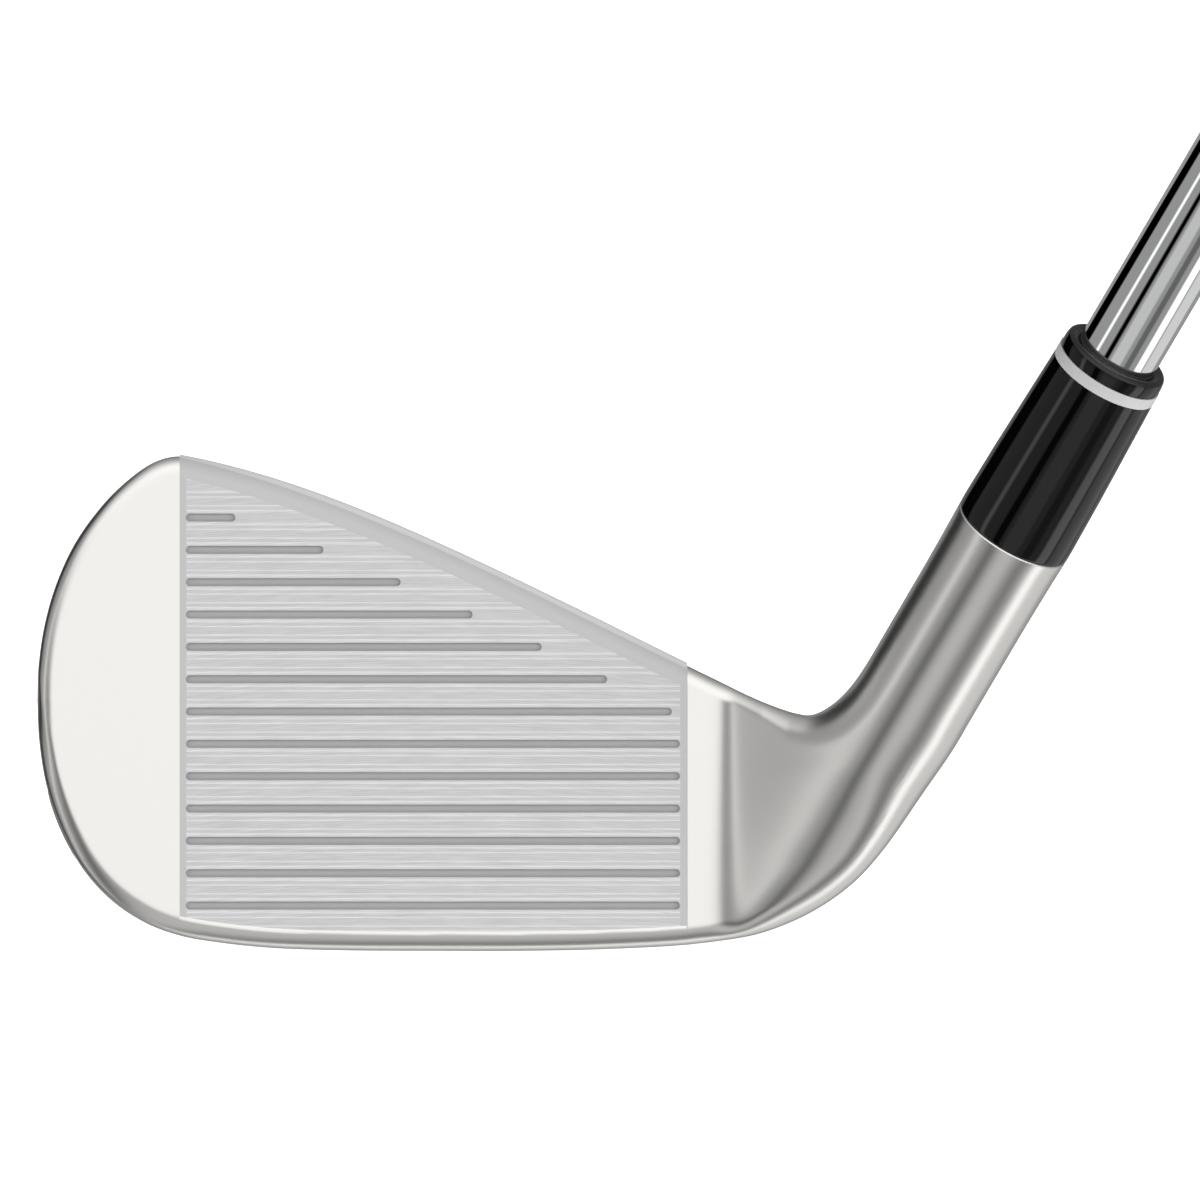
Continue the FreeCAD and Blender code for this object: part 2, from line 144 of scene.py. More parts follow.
def line_gap(u, v, line):
    """Distance from flat arrays of points to a dense line."""
    tree = kdtree.KDTree(len(line))
    for i, (x, y) in enumerate(line):
        tree.insert((x, y, 0), i)
    tree.balance()
    near = np.array([tree.find((x, y, 0))[1] for x, y in zip(u, v)])
    p = np.stack([u, v], 1)
    best = np.full(len(u), 1e9)
    for shift in (-1, 0):
        a = line[np.clip(near + shift, 0, len(line) - 2)]
        b = line[np.clip(near + shift, 0, len(line) - 2) + 1]
        run = b - a
        t = np.clip(((p - a) * run).sum(1) / (run**2).sum(1), 0, 1)[:, None]
        best = np.minimum(best, np.sqrt((((p - a) - t * run) ** 2).sum(1)))
    return best


def inside_loop(u, v, loop):
    """True for points inside a closed line."""
    hit = np.zeros(len(u), bool)
    for (x0, y0), (x1, y1) in zip(loop[:-1], loop[1:]):
        crosses = (y0 > v) != (y1 > v)
        if y0 != y1:
            hit ^= crosses & (u < (x1 - x0) * (v - y0) / (y1 - y0) + x0)
    return hit


def round_in(gap, radius):
    """Depth of a quarter-round edge at a distance in from the rim."""
    t = np.clip(1 - gap / radius, 0, 1)
    return radius * (1 - np.sqrt(np.clip(1 - t**2, 0, 1)))


def soft_step(x, a, b):
    """0 below a, 1 above b, smooth between."""
    t = np.clip((x - a) / (b - a), 0, 1)
    return t * t * (3 - 2 * t)


low_sorted = low_line[np.argsort(low_line[:, 0])]
top_sorted = top_line[np.argsort(top_line[:, 0])]


def v_ends(u):
    """Lowest and highest point of the blade at each u."""
    low = np.interp(u, low_sorted[:, 0], low_sorted[:, 1])
    return low, np.interp(u, top_sorted[:, 0], top_sorted[:, 1])


def side_points():
    """The sole and back as height up the face and depth, from the leading edge to the top bar."""
    points = []
    for a in np.linspace(0, math.radians(16.5), 8):
        points.append((LEAD_ROUND * (1 - math.cos(a)), LEAD_ROUND * (1 + math.sin(a))))
    ys = np.linspace(3.0, 16.8, 30)
    zs = 50 - np.sqrt(2500 - (ys - 9.5) ** 2)
    world = np.stack([np.zeros(30), ys, zs], 1)
    face = to_face(world)
    points += [(v, -w) for v, w in face[:, 1:]]
    edge = [[0, 17.9, 0.95], [0, 18.7, 1.5], [0, 19.1, 2.4], [0, 19.05, 3.6], [0, 18.9, 4.4]]
    trail = to_face(np.array(edge))
    points += [(v, -w) for v, w in trail[:, 1:]]
    points += [(16.2, 11.7), (17.6, 10.8), (18.6, 10.2), (19.8, 9.6), (23, 8.2), (26.2, 6.9)]
    points += [(27.4, 6.5), (29, 6.4), (70, 6.4)]
    return np.array(points)


profile = side_points()


def blade_depths(u, v):
    """Front and back of the blade below the face plane at each point of its outline."""
    low, _ = v_ends(u)
    rise = v - low
    gap = line_gap(u, v, outline)
    rounding = RIM_ROUND + (LEAD_ROUND - RIM_ROUND) * (1 - soft_step(rise, 3, 8))
    front = round_in(gap, rounding)
    under = (u > PLATE_LEFT) & (u < PLATE_RIGHT)
    front = np.where(under & (rise > LEAD_ROUND), front + 0.04, front)
    front = np.where(under & (rise > LEAD_ROUND + 0.6), np.maximum(front, 0.6), front)
    height = rise + low * soft_step(rise, 3, 18)
    depth = np.interp(height, profile[:, 0], profile[:, 1])
    wall = np.interp(v, profile[:, 0], profile[:, 1])
    toe_side = soft_step(low, *TOE_SIDE)
    depth = np.minimum(depth, wall) * (1 - toe_side) + wall * toe_side
    edge = round_in(gap, 1.5) * np.maximum(soft_step(rise, 5, 11), toe_side)
    hole = line_gap(u, v, cavity_loop)
    hole = np.where(inside_loop(u, v, cavity_loop), hole, -hole)
    opened = soft_step(hole, -0.5, 0.4)
    depth = (depth - edge) * (1 - opened) + CAVITY_DEPTH * opened
    return front, np.maximum(depth, rounding + 0.02)


FRONT = 124
LEDGE = (48, 34, 72)
BACK = sum(LEDGE)


def back_shares(low, top):
    """Shares of the way from top to low edge for the back's points, dense at the cavity's lower edge."""
    first = np.clip((18.35 - low) / (top - low), 0.05, 0.9)
    second = np.minimum(first + 1.15 / np.maximum(top - low, 4), 0.95)
    start, middle, end = LEDGE
    a = 1 - np.cos(np.linspace(0, math.pi / 2, start))
    b = np.arange(1, middle + 1) / middle
    c = np.sin(np.linspace(0, math.pi / 2, end + 1)[1:])
    bar = first[:, None] * a
    step = first[:, None] + (second - first)[:, None] * b
    muscle = second[:, None] + (1 - second)[:, None] * c
    return np.hstack([bar, step, muscle])[:, ::-1]


def blade_rings():
    """Rings round the blade at stations from the toe to the heel, each as face-frame points."""
    near_toe = TOE_U + 22 * (1 - np.cos(np.linspace(0, math.pi / 2, 96)))
    along = np.linspace(TOE_U + 22, HEEL_U, 84)[1:]
    seams = [side + nudge for side in (PLATE_LEFT, PLATE_RIGHT) for nudge in (-0.05, -0.003, 0.003, 0.05)]
    stations = np.sort(np.concatenate([near_toe, along, seams]))
    stations[0] += 0.001
    front_share = (1 - np.cos(np.linspace(0, math.pi, FRONT))) / 2
    low, top = v_ends(stations)
    share = np.hstack([np.tile(front_share, (len(stations), 1)), back_shares(low, top)])
    v = low[:, None] + (top - low)[:, None] * share
    u = np.repeat(stations[:, None], FRONT + BACK, 1)
    front, depth = (d.reshape(u.shape) for d in blade_depths(u.ravel(), v.ravel()))
    is_front = np.arange(FRONT + BACK) < FRONT
    skin = np.stack([u, v, -np.where(is_front, front, depth)], 2)
    return [close_ring(ring) for ring in skin]


HOSEL_TOP = 57.45
HOSEL_R = 6.57


HEEL_LOW = [
    (28, 0.68), (30.4, 0.88), (32.5, 1.15), (34.2, 1.45), (36.4, 1.95),
    (38.6, 2.7), (40.9, 3.7), (43.1, 4.9), (45.3, 6.4),
    (47.55, 8.35), (49.8, 10.9), (52, 13.9), (54.2, 17.15),
]
HEEL_TOP = [
    (32.5, 29.75), (34.2, 28.9), (36.4, 27.9), (38.6, 27.05),
    (40.4, 26.5), (41.9, 26.3), (43.3, 26.75), (44.5, 27.5),
    (46, 28.9), (47.55, 31),
]
AXIS_FACE = AXIS @ FACE_AXES.T
ACROSS = np.array([AXIS_FACE[1], -AXIS_FACE[0]]) / math.hypot(*AXIS_FACE[:2])
NECK_V = 34.0


def axis_at(v):
    """The shaft axis in the face frame at a height up the face."""
    foot = to_face(FOOT[None])[0]
    t = (np.asarray(v, float) - foot[1]) / AXIS_FACE[1]
    return foot[0] + t * AXIS_FACE[0], foot[2] + t * AXIS_FACE[2]


def hosel_edge(side, v):
    """A point of the hosel's silhouette at a height: side 1 is the right edge and -1 the left."""
    u, _ = axis_at(v)
    return (float(u) + side * HOSEL_R * ACROSS[0], v + side * HOSEL_R * ACROSS[1])


def evenly(line, count):
    """Points at equal distances along a dense line."""
    run = np.concatenate([[0], np.cumsum(np.linalg.norm(np.diff(line, axis=0), axis=1))])
    at = np.linspace(0, run[-1], count)
    return np.stack([np.interp(at, run, line[:, 0]), np.interp(at, run, line[:, 1])], 1)


def heel_lines(top_v):
    """Dense lower and upper silhouette lines of the heel, from the blade up to a height on the hosel."""
    low = [*BLADE_LOW[-7:-2], *HEEL_LOW[3:], *[hosel_edge(1, v) for v in (25.8, 29, top_v)]]
    top = [*reversed(BLADE_TOP[3:6]), *HEEL_TOP, *[hosel_edge(-1, v) for v in (33, top_v)]]
    return smooth_curve(low, 30), smooth_curve(top, 30)


def heel_edges(count):
    """Lower and upper silhouette of the heel as even points, from the end of the flat face to the hosel."""
    low, top = heel_lines(NECK_V)
    return [evenly(line[line[:, 0] >= HEEL_U - 1e-6], count) for line in (low, top)]


JOIN = math.radians(24)
WIDE = HOSEL_R / math.sqrt(1 - AXIS_FACE[2] ** 2)


def crest(v):
    """Where the front of the hosel is highest, right of the axis, and the radius left of there."""
    return np.interp(v, *CREST), np.interp(v, *CREST_RADIUS)


def hosel_front(u, v):
    """Front of the hosel at face points, kept at its crest height to the right of the crest."""
    axis_u, _ = axis_at(v)
    beside = (u - axis_u) * ACROSS[0]
    _, depth = axis_at(v - beside * ACROSS[1])
    at, radius = crest(v)
    inside = np.clip((beside - at) / radius, -math.sin(JOIN), 0)
    return depth + WIDE * (1 - radius / HOSEL_R * (1 - np.sqrt(1 - inside**2)))


# Offset of the crest from the axis, and its radius, against height up the face.
CREST = ([0, 5, 10, 15, 20], [-0.6, 0, 0.6, 0.4, 0])
CREST_RADIUS = ([5, 10, 15, 22], [7.2, 7.6, 7.4, HOSEL_R])


def edge_radius(at, radii):
    """A radius that changes along an edge, from pairs of (u of the edge, radius)."""
    return np.interp(at, [p[0] for p in radii], [p[1] for p in radii])


def nearest_u(u, v, line):
    """The u of the nearest point of a dense line."""
    tree = kdtree.KDTree(len(line))
    for i, (x, y) in enumerate(line):
        tree.insert((x, y, 0), i)
    tree.balance()
    return np.array([tree.find((x, y, 0))[0][0] for x, y in zip(u, v)])


LOW_RADII = [
    (30, LEAD_ROUND), (33, LEAD_ROUND), (38, 2.5), (44, 3.1), (48, 3.7), (51, 4.7), (54, 6.3), (56, HOSEL_R),
]
TOP_RADII = [(33, RIM_ROUND), (37, 2.3), (40, 3.4), (44, 3.8), (48, 3.4)]
FOOT_SLOPE = 0.75
FOOT_U = 32.7
SOFT_PASSES = 30


def heel_body(u, v):
    """Height of the heel before its edges are rounded: a valley from the flat face onto the hosel."""
    axis_u, _ = axis_at(v)
    at, radius = crest(v)
    at_u = axis_u + (at - radius * math.sin(JOIN)) / ACROSS[0]
    at_w = hosel_front(at_u, v)
    slope = (hosel_front(at_u + 0.05, v) - at_w) / 0.05
    wide = np.maximum(at_u - FOOT_U, 0.4)
    x = np.clip((u - FOOT_U) / wide, 0, 1)
    start = np.clip(FOOT_SLOPE, 0, at_w / wide)
    valley = start * wide * (x**3 - 2 * x**2 + x)
    valley = valley + at_w * (3 * x**2 - 2 * x**3) + slope * wide * (x**3 - x**2)
    body = np.where(u < at_u, valley, hosel_front(u, v))
    return body * (1 - np.exp(-np.clip(v + 0.5, 0, None) / 3.2))


def soften(height, passes):
    """Evens out a grid of heights, with the first row held at the flat face."""
    for _ in range(passes):
        wide = np.pad(height, 1, mode="edge")
        wide[0] = 0
        height = 0.5 * height + 0.125 * (wide[:-2, 1:-1] + wide[2:, 1:-1] + wide[1:-1, :-2] + wide[1:-1, 2:])
    return height


def heel_front(u, v):
    """Height of the front of the heel over a grid of face points, edges rounded."""
    tall = np.linspace(0, 1, 150)
    rows, count = u.shape
    share = (v - v[:, :1]) / (v[:, -1:] - v[:, :1])
    even = np.array([[a + (b - a) * tall for a, b in zip(g[:, 0], g[:, -1])] for g in (u, v)])
    body = soften(heel_body(even[0].ravel(), even[1].ravel()).reshape(rows, len(tall)), SOFT_PASSES)
    body = np.array([np.interp(share[i], tall, body[i]) for i in range(rows)]).ravel()
    u, v = u.ravel(), v.ravel()
    low_edge, top_edge = heel_lines(NECK_V + 6)
    low_r = edge_radius(nearest_u(u, v, low_edge), LOW_RADII)
    top_r = edge_radius(nearest_u(u, v, top_edge), TOP_RADII)
    trimmed = body - round_in(line_gap(u, v, low_edge), low_r) - round_in(line_gap(u, v, top_edge), top_r)
    axis_u, _ = axis_at(v)
    beside = np.clip((u - axis_u) * ACROSS[0] / HOSEL_R, -1, 1)
    _, depth = axis_at(v - beside * HOSEL_R * ACROSS[1])
    tube = depth + WIDE * np.sqrt(1 - beside**2)
    pure = soft_step(v + 0.6 * (u - 47), 25, 33)
    return (trimmed * (1 - pure) + tube * pure).reshape(rows, count)


def heel_rows(section):
    """Rings from the end of the flat face to the hosel."""
    steps = 104
    low, top = heel_edges(steps)
    front_share = (1 - np.cos(np.linspace(0, math.pi, FRONT))) / 2
    share = np.concatenate([front_share, back_shares(*v_ends(np.array([HEEL_U])))[0]])
    points = low[:, None] + (top - low)[:, None] * share[None, :, None]
    u = points[..., 0]
    v = points[..., 1]
    is_front = np.arange(FRONT + BACK) < FRONT
    front = heel_front(u[:, :FRONT], v[:, :FRONT])
    front = np.hstack([front, np.tile(front[:, -1:], (1, BACK))])
    axis_u, axis_w = axis_at(v)
    beside = ((u - axis_u) * ACROSS[0]) / HOSEL_R
    _, axis_w = axis_at(v - beside * HOSEL_R * ACROSS[1])
    tube = axis_w - np.sqrt(np.clip(1 - beside**2, 0, None)) * HOSEL_R / math.sqrt(1 - AXIS_FACE[2] ** 2)
    flat = np.concatenate([section[:FRONT], section[FRONT + 10 : FRONT + 10 + BACK]])[:, 2]
    share_t = soft_step(np.linspace(0, 1, steps), 0, 0.85)[:, None]
    back = (1 - share_t) * flat + share_t * tube
    rim = (front[:, :1] * (1 - share) + front[:, FRONT - 1 : FRONT] * share)[:, : FRONT + BACK]
    back = np.minimum(back, rim - 0.01)
    skin = np.stack([u, v, np.where(is_front, front, back)], 2)
    return [close_ring(ring) for ring in skin[1:]]


def close_ring(ring):
    """A ring's front and back joined at the rim and under the leading edge."""
    side = [ring[FRONT - 1] + (ring[FRONT] - ring[FRONT - 1]) * t for t in np.linspace(0, 1, 12)[1:-1]]
    below = [ring[-1] + (ring[0] - ring[-1]) * t for t in np.linspace(0, 1, 5)[1:-1]]
    return np.vstack([ring[:FRONT], side, ring[FRONT:], below])


CROTCH = np.array([46.2, 4.3, 30.7])
CROTCH_REACH = 6.0
CROTCH_PASSES = 40


def ease_crotch(grid):
    """The points near the crotch, where the heel's top edge meets the hosel, drawn to their neighbours."""
    centre = to_face(CROTCH[None])[0]
    for _ in range(CROTCH_PASSES):
        mean = grid.copy()
        around = np.roll(grid, 1, 1) + np.roll(grid, -1, 1)
        mean[1:-1] = (grid[:-2] + grid[2:] + around[1:-1]) / 4
        near = np.clip(2 - 2 * np.linalg.norm(grid - centre, axis=2) / CROTCH_REACH, 0, 1)[..., None]
        grid = grid + (mean - grid) * near
    return grid


def build_head():
    """The forging as one closed skin, with the hosel bore."""
    rows = [*blade_rings()]
    rows += heel_rows(rows[-1])
    last = rows[-1]
    foot = to_face(FOOT[None])[0]
    along = (last - foot) @ AXIS_FACE
    out = last - foot - along[:, None] * AXIS_FACE
    out /= np.linalg.norm(out, axis=1)[:, None]

    def ring(height, radius):
        """A ring about the shaft axis."""
        return foot + out * radius + AXIS_FACE * np.asarray(height)[..., None]

    base = HOSEL_TOP - 12
    for t in np.linspace(0, 1, 14)[1:]:
        rows.append(ring(along * (1 - t) + base * t, HOSEL_R))
    for t in np.linspace(0, 1, 12)[1:]:
        rows.append(ring(np.full(len(out), base + 11.75 * t), HOSEL_R + 0.16 * t * t))
    for a in np.linspace(0, math.pi / 2, 5)[1:]:
        height = HOSEL_TOP - 0.25 + 0.25 * math.sin(a)
        rows.append(ring(np.full(len(out), height), HOSEL_R + 0.16 - 0.25 * (1 - math.cos(a))))
    rows.append(ring(np.full(len(out), HOSEL_TOP), 4.76))
    rows.append(ring(np.full(len(out), HOSEL_TOP - 31), 4.76))
    count = len(rows[0])
    points = ease_crotch(np.array(rows)).reshape(-1, 3)
    faces = grid_faces(len(rows), count)
    last = (len(rows) - 1) * count
    faces.append(tuple(range(count)))
    faces.append(tuple(last + i for i in reversed(range(count))))
    return add_mesh("head_body_skin", from_face(points), faces)


head = build_head()
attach(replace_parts(head, "head_body"), "root")


def lathe(name, node, rings, segments=128, sink=None):
    """A closed turned solid about the shaft axis from (radius, height) pairs, in place of a CAD piece."""
    near = np.cross(AXIS, [0, 1, 0])
    near /= np.linalg.norm(near)
    turns = np.arange(segments) * 2 * math.pi / segments
    spoke = np.cos(turns)[:, None] * near + np.sin(turns)[:, None] * np.cross(AXIS, near)
    count = len(rings)
    radii = np.array([[radius] * segments for radius, _ in rings], float)
    heights = np.array([height for _, height in rings])
    if sink:
        radii -= sink(radii, heights[:, None], np.arange(segments) / segments)
    points = (FOOT + radii[..., None] * spoke + heights[:, None, None] * AXIS).reshape(-1, 3)
    faces = []
    for i in range(count):
        a, b = i * segments, (i + 1) % count * segments
        for j in range(segments):
            k = (j + 1) % segments
            faces.append((a + j, b + j, b + k, a + k))
    obj = add_mesh(name, points / 1000, faces)
    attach(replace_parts(obj, node), "root")
    parts[node] = obj
    return obj


parts = {"head_body": head}
TIP_END = HOSEL_TOP - 30
FERRULE_BORE = 4.68
FERRULE_TOP = 78.5
RING_TOP = 79.85
BUTT_END = 959.5
GRIP_START = 698


def bent(corner, before, after, size, steps=5):
    """Rounds one corner of a profile between its neighbours."""
    p, a, b = (np.array(x, float) for x in (corner, before, after))
    one = p + (a - p) / np.linalg.norm(a - p) * size
    two = p + (b - p) / np.linalg.norm(b - p) * size
    return [tuple((1 - t) ** 2 * one + 2 * t * (1 - t) * p + t * t * two) for t in np.linspace(0, 1, steps)]


def eased(line, sizes):
    """A closed profile with each corner rounded by its size, zero for a sharp corner."""
    out = []
    for i, size in enumerate(sizes):
        around = (line[i], line[i - 1], line[(i + 1) % len(line)])
        out += bent(*around, size) if size else [line[i]]
    return out


def build_ferrule():
    """Sleeve, trim ring and end cap of the ferrule."""
    base = HOSEL_TOP
    sleeve = [(FERRULE_BORE, base), (6.75, base), (6.75, base + 1.5), (6.62, base + 8)]
    sleeve += [(6.2, FERRULE_TOP), (FERRULE_BORE, FERRULE_TOP)]
    lathe("ferrule_sleeve", "ferrule_body", eased(sleeve, (0, 0.28, 0, 0, 0.04, 0)))
    ring = [(FERRULE_BORE, FERRULE_TOP), (6.2, FERRULE_TOP), (6.2, RING_TOP), (FERRULE_BORE, RING_TOP)]
    lathe("ferrule_trim", "ferrule_ring", eased(ring, (0, 0.06, 0.06, 0)))
    top = RING_TOP + 1.9
    cap = [
        (FERRULE_BORE, RING_TOP), (6.08, RING_TOP), (6.12, top - 1),
        (5.95, top - 0.2), (5.4, top), (5.02, top - 0.2),
        (4.95, top - 0.35), (FERRULE_BORE, top - 0.38),
    ]
    lathe("ferrule_end_cap", "ferrule_cap", eased(cap, (0, 0.05, 0.4, 0.28, 0.2, 0.12, 0.06, 0)))


def build_shaft():
    """Stepped steel tube, with a soft shoulder at each step."""
    line = [(4.6, TIP_END), (4.6, TIP_END + 30), (4.72, TIP_END + 260)]
    for i in range(12):
        low = 4.72 + (7.62 - 4.72) / 12 * i
        high = low + (7.62 - 4.72) / 12
        at = TIP_END + 260 + 26 * i
        line += [(low + (high - low) * soft_step(t, 0, 1), at + 1.5 * t) for t in np.linspace(0, 1, 6)]
        line.append((high, at + 25))
    line.append((7.62, BUTT_END))
    inner = [(radius - 0.42, height) for radius, height in reversed(line)]
    lathe("shaft_tube", "shaft", line + inner, 96)
    end = GRIP_START - 22
    label = [(7.62, end - 90), (7.7, end - 90), (7.7, end), (7.62, end)]
    lathe("shaft_label", "shaft_band", eased(label, (0, 0.03, 0.03, 0)))


PIT_PITCH = 2.6
PITS_ROUND = 22
PIT_DEPTH = 0.32


def pitted(radii, heights, turns):
    """Depth of the grip's staggered lozenge pits, in three zones with plain rings between."""
    rise = heights / PIT_PITCH
    row = np.floor(rise)
    across = np.abs((turns * PITS_ROUND + 0.5 * (row % 2)) % 1 - 0.5)
    along = np.abs(rise % 1 - 0.5)
    share = (heights - GRIP_START) / (BUTT_END - GRIP_START)
    zone = np.zeros_like(share)
    for low, high in ((0.055, 0.33), (0.365, 0.66), (0.695, 0.955)):
        zone += (share > low) & (share < high)
    pit = np.clip((0.44 - across - along) / 0.16, 0, 1)
    return np.where(radii > 8.2, PIT_DEPTH * pit * zone, 0)


def build_grip():
    """Rubber sleeve with zones of small moulded pits, and the butt cap."""
    line = [(7.97, 0), (8.6, 0), (9.2, 0.8), (9.2, 4), (8.8, 5)]
    line += [(10.5, 130.75), (11.5, 196.1), (13.2, 261.5), (7.97, 261.5)]
    line = eased(line, (0, 0.3, 0.4, 0.5, 0.5, 12, 12, 0.2, 0))
    outer = np.array(line[1:-1])
    run = np.concatenate([[0], np.cumsum(np.linalg.norm(np.diff(outer, axis=0), axis=1))])
    steps = np.unique(np.concatenate([run, np.arange(0, run[-1], PIT_PITCH / 5)]))
    outer = [(float(np.interp(t, run, outer[:, 0])), float(np.interp(t, run, outer[:, 1]))) for t in steps]
    line = [line[0], *outer, line[-1]]
    lathe("grip_rubber_sleeve", "grip_sleeve", [(r, GRIP_START + h) for r, h in line], PITS_ROUND * 6, pitted)
    cap = [
        (1.75, 0), (5.2, 0), (5.2, -6), (7.2, -6), (7.2, 0),
        (13.2, 0), (14.6, 1.2), (14.6, 3.5), (14, 4.9), (12.6, 5.5),
        (8, 5.5), (7.8, 5.25), (7.4, 5.25), (7.2, 5.5), (1.75, 5.5),
    ]
    cap = eased(cap, (0, 0, 0, 0, 0, 0.3, 0.6, 1, 0.5, 0.7, 0.1, 0.1, 0.1, 0.1, 0.3))
    lathe("grip_butt_cap", "grip_cap", [(r, BUTT_END + h) for r, h in cap], 160)


def build_toe_weight():
    """Round weight in the toe, its end a little proud of the toe and following its curve."""
    toe = low_line[low_line[:, 0] < -30]
    order = np.argsort(toe[:, 1])
    rings = [(0, 0.16), (2, 0.16), (3.3, 0.16), (3.4, 0.1), (3.6, 0.1)]
    rings += [(3.7, 0.16), (3.9, 0.14), (4.1, 0.05), (4.2, -0.1)]
    turns = np.arange(72) * 2 * math.pi / 72
    points = []
    for radius, proud in rings:
        v = 14 + radius * np.sin(turns)
        u = np.interp(v, toe[order, 1], toe[order, 0]) - proud
        points.append(np.stack([u, v, -7 + radius * np.cos(turns)], 1))
    inner = points[-1].copy()
    inner[:, 0] = -32
    points = np.vstack([*points, inner])
    faces = grid_faces(len(rings) + 1, 72)
    faces.append(tuple(len(points) - 72 + i for i in range(72)))
    obj = add_mesh("toe_weight_plug", from_face(points), faces)
    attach(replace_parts(obj, "toe_weight"), "root")
    parts["toe_weight"] = obj


build_ferrule()
build_shaft()
build_grip()
build_toe_weight()


# ---------------------------------------------------------------- materials
def new_material(name, **values):
    """A Principled material with plain values on its own sockets."""
    material = bpy.data.materials.new(name)
    material.use_nodes = True
    shader = material.node_tree.nodes["Principled BSDF"]
    for key, value in values.items():
        shader.inputs[key.replace("_", " ")].default_value = value
    return material, material.node_tree, shader


def bump_from(tree, shader, height, strength, distance):
    """Feeds a height into the shader's normal."""
    bump = tree.nodes.new("ShaderNodeBump")
    bump.inputs["Strength"].default_value = strength
    bump.inputs["Distance"].default_value = distance
    tree.links.new(height, bump.inputs["Height"])
    tree.links.new(bump.outputs["Normal"], shader.inputs["Normal"])


def noise(tree, scale, detail=2.0):
    """Noise over the row frame, with its scale in features per metre."""
    place = tree.nodes.new("ShaderNodeTexCoord")
    grain = tree.nodes.new("ShaderNodeTexNoise")
    grain.inputs["Scale"].default_value = scale
    grain.inputs["Detail"].default_value = detail
    tree.links.new(place.outputs["Object"], grain.inputs["Vector"])
    return grain.outputs["Fac"]


def plain(name, colour, rough, metal=0.0, grain=3000, strength=0.02, **more):
    """A finish with a faint grain."""
    material, tree, shader = new_material(name, Roughness=rough, Metallic=metal, **more)
    shader.inputs["Base Color"].default_value = (*colour, 1)
    bump_from(tree, shader, noise(tree, grain), strength, 0.0001)
    return material


satin = plain("satin_nickel", (0.82, 0.81, 0.785), 0.3, 1.0, 9000, 0.02)
gloss_black = plain("gloss_black", (0.0015, 0.0015, 0.0015), 0.03, 0.0, 800, 0.0)
chrome = plain("chrome", (0.86, 0.865, 0.87), 0.02, 1.0, 800, 0.0)
ring_metal = plain("ring_silver", (0.46, 0.46, 0.46), 0.35, 0.0, 800, 0.0)
paper = plain("tape_paper", (0.8, 0.76, 0.65), 0.7, 0.0)
epoxy = plain("epoxy", (0.5, 0.45, 0.35), 0.4, 0.0)
brass = plain("brass", (0.75, 0.58, 0.3), 0.3, 1.0)
tungsten = plain("tungsten", (0.5, 0.5, 0.49), 0.3, 1.0)
foam = plain("foam", (0.02, 0.02, 0.02), 0.8, 0.0)


def grey_ramp(tree, value, stops):
    """A ramp of greys over a value from 0 to 1."""
    ramp = tree.nodes.new("ShaderNodeValToRGB")
    while len(ramp.color_ramp.elements) > 1:
        ramp.color_ramp.elements.remove(ramp.color_ramp.elements[-1])
    ramp.color_ramp.elements[0].position = stops[0][0]
    ramp.color_ramp.elements[0].color = (*[stops[0][1]] * 3, 1)
    for at, level in stops[1:]:
        element = ramp.color_ramp.elements.new(at)
        element.color = (level, level, level, 1)
    tree.links.new(value, ramp.inputs["Fac"])
    return ramp.outputs["Color"]


def sums(tree, operation, first, second=None):
    """One Math node over sockets or plain numbers."""
    node = tree.nodes.new("ShaderNodeMath")
    node.operation = operation
    for socket, value in zip(node.inputs, (first, second)):
        if isinstance(value, (int, float)):
            socket.default_value = value
        elif value is not None:
            tree.links.new(value, socket)
    return node.outputs["Value"]


def lean(tree, vector, direction):
    """Dot product of a vector socket with a fixed direction."""
    node = tree.nodes.new("ShaderNodeVectorMath")
    node.operation = "DOT_PRODUCT"
    tree.links.new(vector, node.inputs[0])
    node.inputs[1].default_value = tuple(direction)
    return node.outputs["Value"]


def mix_grey(tree, share, low, high):
    """A colour between two, by a share socket."""
    node = tree.nodes.new("ShaderNodeMix")
    node.data_type = "RGBA"
    tree.links.new(share, node.inputs["Factor"])
    tree.links.new(low, node.inputs["A"])
    tree.links.new(high, node.inputs["B"])
    return node.outputs["Result"]


def smooth_share(tree, value, start, end):
    """0 to 1 smoothly as a value goes from start to end."""
    node = tree.nodes.new("ShaderNodeMapRange")
    node.interpolation_type = "SMOOTHSTEP"
    tree.links.new(value, node.inputs["Value"])
    node.inputs["From Min"].default_value = start
    node.inputs["From Max"].default_value = end
    return node.outputs["Result"]


def smallest(tree, *values):
    """Least of several sockets."""
    out = values[0]
    for value in values[1:]:
        out = sums(tree, "MINIMUM", out, value)
    return out


def step_share(tree, value, start, end):
    """0 to 1 in a straight line as a value goes from start to end."""
    out = sums(tree, "DIVIDE", sums(tree, "SUBTRACT", value, start), end - start)
    return sums(tree, "MINIMUM", sums(tree, "MAXIMUM", out, 0.0), 1.0)


